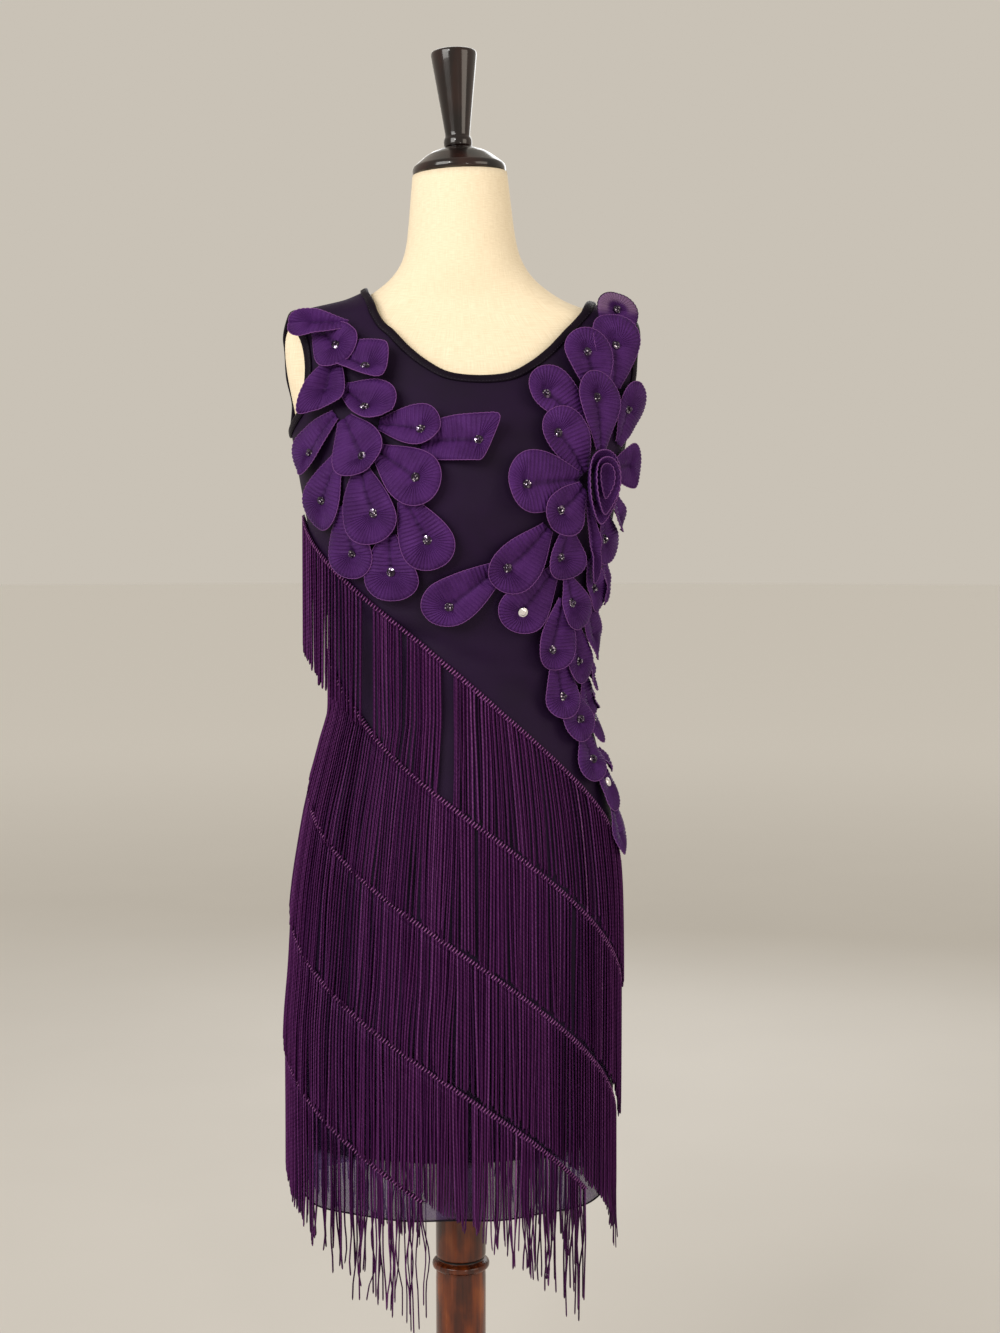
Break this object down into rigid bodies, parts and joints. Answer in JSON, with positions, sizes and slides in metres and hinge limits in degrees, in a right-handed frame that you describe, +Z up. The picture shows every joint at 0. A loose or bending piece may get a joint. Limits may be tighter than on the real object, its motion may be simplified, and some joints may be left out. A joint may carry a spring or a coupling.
{
  "type": "fringed flapper dress on a dress form",
  "caption": "Sleeveless flapper dress with diagonal rows of fringe and pleated petal trim, worn by a limbless dress form on a turned pole and round foot.",
  "frame": {"origin": "on the floor, at the middle of the round foot's underside", "axes": "+Z up along the pole; the dress faces -Y and +X is the viewer's right"},
  "size_m": [0.38, 0.38, 1.6388],
  "materials": {
    "dress_mesh": "fine stretch mesh, nearly black plum",
    "lining_cloth": "dark plum knit",
    "binding": "black-plum bias binding",
    "fringe": "plum rayon chainette fringe with a soft sheen",
    "petal_cloth": "purple pleated chiffon",
    "bead": "faceted black-purple sequins and beads",
    "silver_disc": "polished silver discs",
    "form_linen": "natural linen",
    "black_lacquer": "black-brown lacquered wood",
    "dark_wood": "dark brown polished wood"
  },
  "bodies": {
    "root": {"form_torso": "form_linen", "neck_cap": "black_lacquer", "neck_finial": "black_lacquer", "stand_pole": "dark_wood", "stand_base": "dark_wood", "dress_front": "dress_mesh", "dress_back": "dress_mesh", "lining": "lining_cloth", "neck_binding": "binding", "armhole_binding_left": "binding", "armhole_binding_right": "binding", "fringe_row_1": "fringe", "fringe_row_2": "fringe", "fringe_row_3": "fringe", "fringe_row_4": "fringe", "fringe_row_5": "fringe", "petal_l00": "petal_cloth", "petal_l01": "petal_cloth", "petal_l02": "petal_cloth", "petal_l03": "petal_cloth", "petal_l04": "petal_cloth", "petal_l05": "petal_cloth", "petal_l06": "petal_cloth", "petal_l07": "petal_cloth", "petal_l08": "petal_cloth", "petal_l09": "petal_cloth", "petal_l10": "petal_cloth", "petal_l11": "petal_cloth", "petal_l12": "petal_cloth", "petal_l13": "petal_cloth", "petal_l14": "petal_cloth", "petal_r00": "petal_cloth", "petal_r01": "petal_cloth", "petal_r02": "petal_cloth", "petal_r03": "petal_cloth", "petal_r04": "petal_cloth", "petal_r05": "petal_cloth", "petal_r06": "petal_cloth", "petal_r07": "petal_cloth", "petal_r08": "petal_cloth", "petal_r09": "petal_cloth", "petal_r10": "petal_cloth", "petal_r12": "petal_cloth", "petal_r13": "petal_cloth", "petal_r14": "petal_cloth", "petal_r15": "petal_cloth", "petal_r16": "petal_cloth", "petal_r17": "petal_cloth", "petal_r18": "petal_cloth", "petal_r19": "petal_cloth", "petal_r20": "petal_cloth", "petal_r22": "petal_cloth", "petal_r23": "petal_cloth", "petal_r25": "petal_cloth", "petal_r26": "petal_cloth", "petal_r27": "petal_cloth", "petal_r28": "petal_cloth", "petal_r30": "petal_cloth", "petal_r32": "petal_cloth", "petal_r33": "petal_cloth"}
  },
  "joints": []
}
